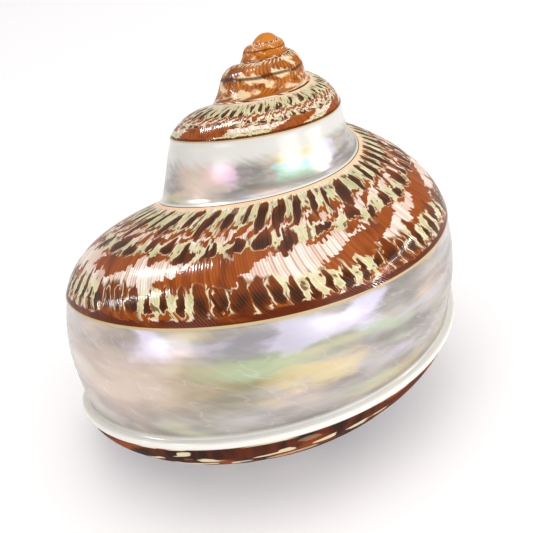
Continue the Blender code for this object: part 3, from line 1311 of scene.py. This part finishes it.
    def flame_mask(self, g: Graph, skin: Skin) -> Field:
        """The large rust flames of the middle band.

        Args:
            g: the graph.
            skin: the layer's coordinates.

        Returns:
            How deep a point is inside a flame.
        """
        strand = skin.strand
        level = skin.ragged
        lift = level - self.flame_level
        place = strand * self.flames_per_turn + g.noise(strand, level, self.flame_drift)
        place = place - lift * self.flame_slant
        size = g.draw(place.floor(), 4.0) * 0.3 + 0.85
        off = (place.fract() - 0.5) / (size * self.flame_half_width)
        inside = 1.0 - (off.square().square() + (lift / self.flame_half_height).square())
        for start, end in self.placed:
            inside = inside - strand.within(start, end, 0.01) * self.cleared
        for flame in self.flames:
            rise = level - flame.level
            along = (strand - flame.turn - rise * flame.slant) / flame.half_turn
            tall = rise / flame.half_level
            inside = inside.most(1.0 - (along.square().square() + tall.square().square()))
        return inside + g.noise(strand, level, self.flame_cloud)

    def feet(self, g: Graph, skin: Skin) -> Field:
        """Where the third row of blotches runs together, under the flames.

        Args:
            g: the graph.
            skin: the layer's coordinates.

        Returns:
            1 under the flames and 0 elsewhere.
        """
        bent = skin.turn + g.noise(skin.turn, skin.level, self.foot_cloud)
        inside = 1.0 - ((bent * self.flames_per_turn).fract() * 2.0 - 1.0).square() * 3.0
        for start, end in self.placed:
            inside = inside - bent.within(start, end, 0.01) * self.cleared
        for flame in self.flames:
            inside = inside.most(1.0 - ((bent - flame.turn + self.foot_shift) / flame.half_turn).square())
        return inside.rise(0.0, 0.5) * skin.turn.rise(*self.grown_turns)

    def marks(self, g: Graph, skin: Skin) -> Field:
        """Colour of the marked band: ground, flames and the rows of blotches.

        Args:
            g: the graph.
            skin: the layer's coordinates.

        Returns:
            The colour.
        """
        colour, greens = self.ground(g, skin)
        rust = self.rusts(g, skin)
        feet = self.feet(g, skin)
        under = feet * skin.ragged.within(*self.foot_levels)
        colour = g.blend(under, colour, g.blend(skin.own + 0.5, rust, self.brown))
        colour = g.blend(self.flame_mask(g, skin).rise(-0.12, 0.08), colour, rust)
        grown = skin.turn.rise(*self.grown_turns)
        for row in self.rows:
            low_row = row.level > self.low_row_level
            blot, tail = self.blotches(g, skin, feet * self.foot_width * float(low_row), row)
            if low_row:
                blot = blot - (1.0 - grown) * self.cleared
                loops = blot.within(-0.75, -0.25, 0.15) * skin.ragged.within(*self.loop_levels) * grown
                colour = g.blend(loops * 0.85, colour, self.cream)
            colour = g.blend(tail.rise(0.0, 0.12) * (grown if low_row else 1.0), colour, rust)
            colour = g.blend(blot.rise(-0.45, -0.05) * greens * (1.0 - under) * 0.75, colour, self.cream)
            shade = g.blend((blot + skin.own * 0.7).rise(0.15, 0.9), self.brown, self.dark)
            shade = g.blend((row.level - skin.level).rise(0.05, 0.5) * 0.5, shade, self.rust)
            colour = g.blend(blot.rise(-0.08, 0.16), colour, shade)
        return self.edges(g, skin, colour, rust)

    def edges(self, g: Graph, skin: Skin, colour: Tint, rust: Tint) -> Field:
        """Colour with the bands along both edges: brown and buff below, peach and a dark seam above.

        Args:
            g: the graph.
            skin: the layer's coordinates.
            colour: the colour between the edges.
            rust: the colour of the flames.

        Returns:
            The colour of the whole band.
        """
        low = (skin.ragged + g.noise(skin.turn, skin.level, self.low_cloud)).rise(*self.low_edge)
        rusty = g.noise(skin.turn, skin.level, self.band_cloud).rise(0.0, 0.3) * 0.7
        colour = g.blend(low, colour, g.blend(rusty, self.umber, rust))
        colour = g.blend(skin.level.rise(*self.umber_edge), colour, self.umber)
        colour = g.blend(skin.level.rise(*self.buff_edge), colour, self.buff)
        rim = skin.level + g.noise(skin.turn, skin.level, self.rim_cloud)
        colour = g.blend(rim.rise(*self.rim_edge), colour, self.peach)
        return g.blend(skin.level.rise(*self.seam_edge), colour, self.dark)

    def material(self) -> bpy.types.Material:
        """The finish as a material.

        Returns:
            The material of the whole outer layer, with the spire and the base.
        """
        g = Graph(self.name)
        skin = self.skin(g)
        colour = self.marks(g, skin)
        colour = g.blend(skin.turn.rise(*self.spire_turns), colour, SpireMarks(self).colour(g, skin))
        colour = g.blend(skin.level.rise(*self.cord_edge), colour, self.white)
        colour = g.blend(skin.level.rise(*self.base_edge), colour, BaseMarks(self).colour(g, skin))
        g.feed(g.shader.inputs["Base Color"], colour)
        matt = skin.level.rise(*self.matt_edge) * (self.base_roughness - self.roughness)
        g.feed(g.shader.inputs["Roughness"], matt + self.roughness)
        g.shader.inputs["Specular IOR Level"].default_value = self.gloss
        return g.material


@dataclass(frozen=True)
class SpireMarks:
    """The marks of the first whorls: orange and rust, a dark line and pale flecks."""

    finish: MarkedFinish
    orange: Colour = srgb(202, 118, 28)
    apricot: Colour = srgb(238, 210, 168)
    chord_share: float = 0.185
    ribs_per_turn: float = 64.0
    flecks_per_turn: float = 44.0
    beads_per_turn: float = 60.0
    line_levels: tuple[float, float, float] = (2.3, 2.7, 0.12)
    fleck_levels: tuple[float, float, float] = (0.45, 1.2, 0.12)
    seam_levels: tuple[float, float, float] = (-0.2, 0.5, 0.08)
    tone_cloud: Cloud = Cloud(9.0, 0.5, 31.0)
    warm_cloud: Cloud = Cloud(30.0, 0.7, 32.0, 1.0, 3.0)
    patch_cloud: Cloud = Cloud(1.0, 0.5, 33.0, 1.0, 3.0)
    ragged_cloud: Cloud = Cloud(70.0, 1.2, 34.0, 0.3)
    line_cloud: Cloud = Cloud(10.0, 0.0, 35.0, 0.8, 1.0)

    def colour(self, g: Graph, skin: Skin) -> Field:
        """Colour of the first whorls.

        Args:
            g: the graph.
            skin: the layer's coordinates.

        Returns:
            The colour.
        """
        turn = skin.turn
        level = skin.level
        finish = self.finish
        share = level * self.chord_share
        upright = turn - share * share.square() * LAG_TURNS
        cloud = g.noise(upright, level, self.tone_cloud)
        grown = (turn - level * 0.1 + cloud * 2.0).rise(1.0, 2.3)
        colour = g.blend(grown, self.orange, finish.rust)
        ribs = (upright * self.ribs_per_turn).wave() * 0.6
        colour = g.blend((ribs + cloud) * (turn - 0.6).least(1.0), colour, finish.brown)
        warm = g.noise(upright, level, self.warm_cloud)
        colour = g.blend(warm.rise(0.0, -0.22) * 0.8, colour, finish.brown)
        patch = g.noise(upright * 15.0 + level * 0.4, level, self.patch_cloud) + turn * 0.08
        patch = patch + g.noise(upright, level, self.ragged_cloud)
        colour = g.blend(patch.rise(0.13, 0.24) * 0.92, colour, self.apricot)
        line = level + g.noise(turn, level, self.line_cloud)
        colour = g.blend(line.within(*self.line_levels) * 0.85, colour, finish.dark)
        fleck = ((turn * self.flecks_per_turn - level * 1.1).fract() - 0.5).square().rise(0.03, 0.015)
        colour = g.blend(fleck * level.within(*self.fleck_levels), colour, finish.cream)
        colour = g.blend(level.rise(-0.1, -0.3), colour, self.orange)
        seam = level.within(*self.seam_levels).most(level.rise(5.6, 5.9))
        bead = g.draw((turn * self.beads_per_turn).floor(), 36.0).rise(0.55, 0.6)
        return g.blend(seam, colour, g.blend(bead, finish.dark, finish.white))


@dataclass(frozen=True)
class BaseMarks:
    """The marks of the base: brown with oblique cream patches, and worn white in the middle."""

    finish: MarkedFinish
    soot: Colour = srgb(44, 18, 6)
    spots_per_turn: float = 24.0
    spot_slant: float = 2.4
    rings_per_level: float = 4.0
    half_width: float = 0.3
    half_height: float = 0.4
    worn_levels: tuple[float, float] = (11.0, 11.6)
    spot_cloud: Cloud = Cloud(14.0, 2.0, 12.0, 3.0)
    edge_cloud: Cloud = Cloud(60.0, 7.0, 16.0, 2.6, 3.0)
    streak_cloud: Cloud = Cloud(90.0, 0.8, 14.0)
    rust_cloud: Cloud = Cloud(20.0, 1.4, 15.0)

    def colour(self, g: Graph, skin: Skin) -> Field:
        """Colour of the base.

        Args:
            g: the graph.
            skin: the layer's coordinates.

        Returns:
            The colour.
        """
        turn = skin.turn
        level = skin.level
        spot = turn * self.spots_per_turn - level * self.spot_slant
        spot = spot + g.noise(turn, level, self.spot_cloud)
        row = level * self.rings_per_level + turn * 0.5
        ring = row.fract() - 0.5
        off = (spot.fract() - 0.5) / self.half_width + ring * 0.9
        oval = off.square() + (ring / self.half_height).square()
        oval = oval + g.noise(turn, level, self.edge_cloud)
        chosen = g.draw(spot.floor() + row.floor() * 17.0, 13.0).rise(0.5, 0.55)
        streak = g.noise(turn, level, self.streak_cloud).rise(-0.1, 0.12)
        colour = g.blend(streak, self.soot, self.finish.umber)
        rusty = g.noise(turn, level, self.rust_cloud).rise(0.05, 0.2)
        colour = g.blend(rusty, colour, self.finish.rust)
        colour = g.blend(oval.rise(1.0, 0.6) * chosen * 0.9, colour, self.finish.cream)
        return g.blend(level.rise(*self.worn_levels), colour, self.finish.white)


@dataclass(frozen=True)
class Sheen:
    """A soft patch placed on the pearl by its turn and level; the patches paint in nacre sheen,
    highlights and shade.
    """

    turn: float
    level: float
    half_turn: float
    half_level: float
    tint: Colour
    strength: float


PINK = srgb(236, 200, 222)
LAVENDER = srgb(222, 216, 240)
GREEN = srgb(190, 214, 176)
OLIVE = srgb(142, 134, 92)
AQUA = srgb(180, 236, 232)
GOLD = srgb(246, 222, 160)
PEACH = srgb(236, 206, 186)
# Grey of the painted shade patches on the pearl
SHADE_GREY = srgb(134, 130, 124)


@dataclass(frozen=True)
class PearlFinish:
    """The polished pearl: silver grey with soft patches of colour, painted sheen, painted highlights and
    painted shade, and faint growth streaks.
    """

    name: str = "mother_of_pearl"
    silver: Colour = srgb(184, 177, 171)
    shade: Colour = srgb(146, 140, 135)
    white: Colour = srgb(216, 214, 208)
    crease: Colour = srgb(244, 244, 246)
    roughness: float = 0.26
    shine: float = 0.4
    coat: float = 0.15
    coat_roughness: float = 0.05
    band_start: float = 0.546
    band_share: float = 0.227
    early_turns: tuple[float, float] = (3.2, 3.0)
    chalk_edge: tuple[float, float] = (6.95, 6.45)
    cord_edge: tuple[float, float] = (7.88, 7.96)
    silver_cloud: Cloud = Cloud(1.0, 2.2, 2.0, 1.0, 3.0)
    tint_cloud: Cloud = Cloud(0.8, 2.0, 20.0)
    streak_cloud: Cloud = Cloud(150.0, 1.2, 1.0, 1.0, 3.0)
    turn_cloud: Cloud = Cloud(26.0, 2.6, 51.0, 0.08, 3.0)
    level_cloud: Cloud = Cloud(26.0, 2.6, 57.0, 0.8, 3.0)
    crease_cloud: Cloud = Cloud(1.0, 0.8, 71.0, 1.0, 3.0)
    chalk_cloud: Cloud = Cloud(40.0, 0.0, 61.0, 0.6, 3.0)
    # Placed patches: olive, green, gold, pink, aqua and peach paint in the nacre's sheen, lavender paints
    # highlights, grey paints shade
    painted_sheens: tuple[Sheen, ...] = (
        Sheen(3.880, 6.90, 0.044, 0.30, OLIVE, 0.8),
        Sheen(3.940, 7.25, 0.035, 0.35, OLIVE, 0.35),
        Sheen(3.850, 6.72, 0.036, 0.24, GREEN, 0.5),
        Sheen(3.848, 7.10, 0.034, 0.19, GOLD, 0.55),
        Sheen(3.795, 6.30, 0.045, 0.22, LAVENDER, 0.6),
        Sheen(3.901, 6.28, 0.018, 0.24, LAVENDER, 0.8),
        Sheen(3.745, 6.28, 0.016, 0.25, LAVENDER, 0.7),
        Sheen(3.830, 6.35, 0.016, 0.26, SHADE_GREY, 0.7),
        Sheen(3.926, 6.28, 0.014, 0.26, SHADE_GREY, 0.6),
        Sheen(3.705, 6.25, 0.020, 0.30, SHADE_GREY, 0.7),
        Sheen(3.985, 6.95, 0.060, 0.60, PEACH, 0.45),
        Sheen(2.925, 7.00, 0.030, 0.35, PINK, 0.9),
        Sheen(2.820, 7.15, 0.030, 0.35, AQUA, 0.9),
        Sheen(2.855, 7.45, 0.030, 0.20, GREEN, 0.7),
        Sheen(2.780, 6.75, 0.035, 0.25, GOLD, 0.7),
        Sheen(2.985, 7.10, 0.040, 0.60, PEACH, 0.6),
        Sheen(2.905, 7.62, 0.060, 0.22, SHADE_GREY, 0.5),
        Sheen(2.745, 7.05, 0.020, 0.40, LAVENDER, 0.8),
        Sheen(2.862, 6.80, 0.016, 0.35, SHADE_GREY, 0.6),
    )

    def upright(self, turn: Field | float, level: Field | float) -> Field | float:
        """Where a point of the polished band stands round the axis, in turns."""
        share = (level - POLISH_LEVEL) * self.band_share + self.band_start
        return turn - share * share * share * LAG_TURNS

    def tinted(self, g: Graph, upright: Field, level: Field) -> Field:
        """Silver with clouds of shade, random patches of colour, and the placed patches of painted sheen,
        highlight and shade.

        Args:
            g: the graph.
            upright: where the point stands round the axis, in turns.
            level: its level.

        Returns:
            The colour.
        """
        slanted = upright * 15.0 + level * 0.6
        cloud = g.noise(slanted, level, self.silver_cloud)
        colour = g.blend(cloud.rise(-0.14, 0.12), self.shade, self.silver)
        for number, tint in enumerate((LAVENDER, GREEN, GOLD, PEACH)):
            own_cloud = replace(self.tint_cloud, seed=self.tint_cloud.seed + 7.0 * number)
            patch = g.noise(slanted, level, own_cloud)
            colour = g.blend(patch.rise(0.04, 0.24) * 0.4, colour, tint)
        bent_turn = upright + g.noise(upright, level, self.turn_cloud)
        bent_level = level + g.noise(upright, level, self.level_cloud)
        # Painted sheen, painted highlights and painted shade, each a soft patch at its place
        for sheen in self.painted_sheens:
            centre = self.upright(sheen.turn, sheen.level)
            away = ((bent_turn - centre) / sheen.half_turn).square()
            away = away + ((bent_level - sheen.level) / sheen.half_level).square()
            colour = g.blend(away.rise(2.6, 0.0) * sheen.strength, colour, sheen.tint)
        return colour

    def material(self) -> bpy.types.Material:
        """The finish as a material.

        Returns:
            The material of the polished band.
        """
        g = Graph(self.name)
        turn, level = g.growth()
        upright = self.upright(turn, level)
        colour = self.tinted(g, upright, level)
        streak = g.noise(turn, level, self.streak_cloud)
        colour = g.blend(streak.rise(0.0, 0.3) * 0.12, colour, self.white)
        crease = g.noise(upright * 24.0 + level * 1.6, level, self.crease_cloud)
        colour = g.blend(crease.within(-0.004, 0.004, 0.005) * 0.15, colour, self.crease)
        edge = level + g.noise(turn, level, self.chalk_cloud)
        chalk = edge.rise(*self.chalk_edge) * turn.rise(*self.early_turns)
        chalk = chalk.most(level.rise(*self.cord_edge)) * 0.95
        g.feed(g.shader.inputs["Base Color"], g.blend(chalk, colour, self.white))
        g.feed(g.shader.inputs["Metallic"], (1.0 - chalk) * self.shine)
        g.shader.inputs["Roughness"].default_value = self.roughness
        g.shader.inputs["Coat Weight"].default_value = self.coat
        g.shader.inputs["Coat Roughness"].default_value = self.coat_roughness
        return g.material


@dataclass(frozen=True)
class InnerFinish:
    """The lip and the inside of the mouth: white, turning to pearl."""

    name: str = "inner_pearl"
    lip: Colour = srgb(236, 228, 214)
    pearl: Colour = srgb(224, 222, 218)
    tint: Colour = srgb(206, 224, 210)
    roughness: float = 0.3
    shine: float = 0.15
    coat: float = 0.5
    cloud: Cloud = Cloud(160.0, 160.0, 3.0)

    def material(self) -> bpy.types.Material:
        """The finish as a material.

        Returns:
            The material of the lip and the hollow.
        """
        g = Graph(self.name)
        _, level = g.growth()
        place = g.node("ShaderNodeTexCoord")
        parts = g.node("ShaderNodeSeparateXYZ")
        g.tree.links.new(place.outputs["Object"], parts.inputs[0])
        cloud = g.noise(Field(g, parts.outputs[0]), Field(g, parts.outputs[2]), self.cloud)
        pearl = g.blend(cloud.rise(-0.05, 0.2), self.pearl, self.tint)
        inside = level.rise(LIP_LEVEL + 0.1, HOLLOW_LEVEL - 0.1)
        g.feed(g.shader.inputs["Base Color"], g.blend(inside, self.lip, pearl))
        g.shader.inputs["Roughness"].default_value = self.roughness
        g.shader.inputs["Metallic"].default_value = self.shine
        g.shader.inputs["Coat Weight"].default_value = self.coat
        return g.material


@dataclass(frozen=True)
class SoftBox:
    """One soft studio light, aimed at the shell."""

    name: str
    at: tuple[float, float, float]
    size: tuple[float, float]
    power: float
    only_gloss: bool = False

    def make(self, target: Vector) -> None:
        """Hang the light and aim it.

        Args:
            target: the point that the light faces.
        """
        light = bpy.data.lights.new(self.name, "AREA")
        light.shape = "RECTANGLE"
        light.size, light.size_y = self.size
        light.energy = self.power
        lamp = bpy.data.objects.new(self.name, light)
        lamp.location = self.at
        lamp.rotation_euler = (target - lamp.location).to_track_quat("-Z", "Y").to_euler()
        lamp.visible_diffuse = not self.only_gloss
        bpy.context.scene.collection.objects.link(lamp)


@dataclass(frozen=True)
class Studio:
    """The pale floor, the soft lights and the camera."""

    floor_size: float = 2.4
    floor_tint: Colour = srgb(232, 228, 224)
    glow_tint: Colour = srgb(236, 241, 255)
    floor_glow: float = 0.25
    floor_roughness: float = 0.6
    air: float = 0.60
    lights: tuple[SoftBox, ...] = (
        SoftBox("left_softbox", (-0.28, -0.22, 0.10), (0.14, 0.14), 0.22),
        SoftBox("right_softbox", (0.19, -0.27, 0.09), (0.14, 0.16), 0.28),
        SoftBox("side_softbox", (0.36, -0.11, 0.07), (0.10, 0.14), 0.14),
        SoftBox("top_softbox", (0.20, -0.08, 0.90), (1.20, 1.20), 5.6),
        SoftBox("back_spark", (-0.22, 0.11, 0.35), (0.016, 0.016), 1.40, True),
        SoftBox("left_spark", (-0.35, 0.04, 0.24), (0.016, 0.016), 0.70, True),
        SoftBox("right_spark", (0.36, -0.11, 0.12), (0.016, 0.016), 0.65, True),
    )
    target: tuple[float, float, float] = (0.0, 0.0, 0.024)
    camera_at: tuple[float, float, float] = (0.010429, -0.114381, 0.084523)
    camera_right: tuple[float, float, float] = (0.975576, -0.053234, -0.213113)
    camera_back: tuple[float, float, float] = (0.059614, -0.869613, 0.490122)
    lens: float = 60.79

    def make(self) -> None:
        """Lay the floor, hang the lights and set up the camera."""
        self.make_floor()
        for light in self.lights:
            light.make(Vector(self.target))
        world = bpy.data.worlds.new("soft_air")
        world.use_nodes = True
        world.node_tree.nodes["Background"].inputs[0].default_value = (1.0, 1.0, 1.0, 1.0)
        world.node_tree.nodes["Background"].inputs[1].default_value = self.air
        bpy.context.scene.world = world
        bpy.context.scene.view_settings.view_transform = "Standard"
        self.make_camera()

    def make_floor(self) -> None:
        """A plain pale floor under the shell."""
        half = self.floor_size / 2.0
        mesh = bpy.data.meshes.new("floor")
        mesh.from_pydata([(-half, -half, 0.0), (half, -half, 0.0), (half, half, 0.0), (-half, half, 0.0)],
                         [], [(0, 1, 2, 3)])
        floor = bpy.data.objects.new("floor", mesh)
        bpy.context.scene.collection.objects.link(floor)
        graph = Graph("pale_floor")
        graph.shader.inputs["Base Color"].default_value = self.floor_tint
        graph.shader.inputs["Roughness"].default_value = self.floor_roughness
        graph.shader.inputs["Specular IOR Level"].default_value = 0.0
        graph.shader.inputs["Emission Color"].default_value = self.glow_tint
        graph.shader.inputs["Emission Strength"].default_value = self.floor_glow
        mesh.materials.append(graph.material)

    def make_camera(self) -> None:
        """The camera at the photograph's viewing angle."""
        right = Vector(self.camera_right).normalized()
        back = Vector(self.camera_back).normalized()
        up = back.cross(right).normalized()
        turn = Matrix((right, up, back)).transposed().to_4x4()
        camera = bpy.data.cameras.new("camera")
        camera.sensor_width = 36.0
        camera.lens = self.lens
        camera.clip_start = 0.005
        viewer = bpy.data.objects.new("camera", camera)
        viewer.matrix_world = Matrix.Translation(Vector(self.camera_at)) @ turn
        bpy.context.scene.collection.objects.link(viewer)
        bpy.context.scene.camera = viewer


def main() -> None:
    """Build the studio and the shell, and report each piece."""
    logging.basicConfig(level=logging.INFO, format="%(message)s")
    Studio().make()
    shell = ShellBody().make()
    for finish in (MarkedFinish(), PearlFinish(), InnerFinish()):
        shell.data.materials.append(finish.material())
    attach(shell, "root")
    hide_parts(NODE)
    LOG.info("shell dressed in %d finishes", len(shell.data.materials))


if __name__ == "__main__":
    main()
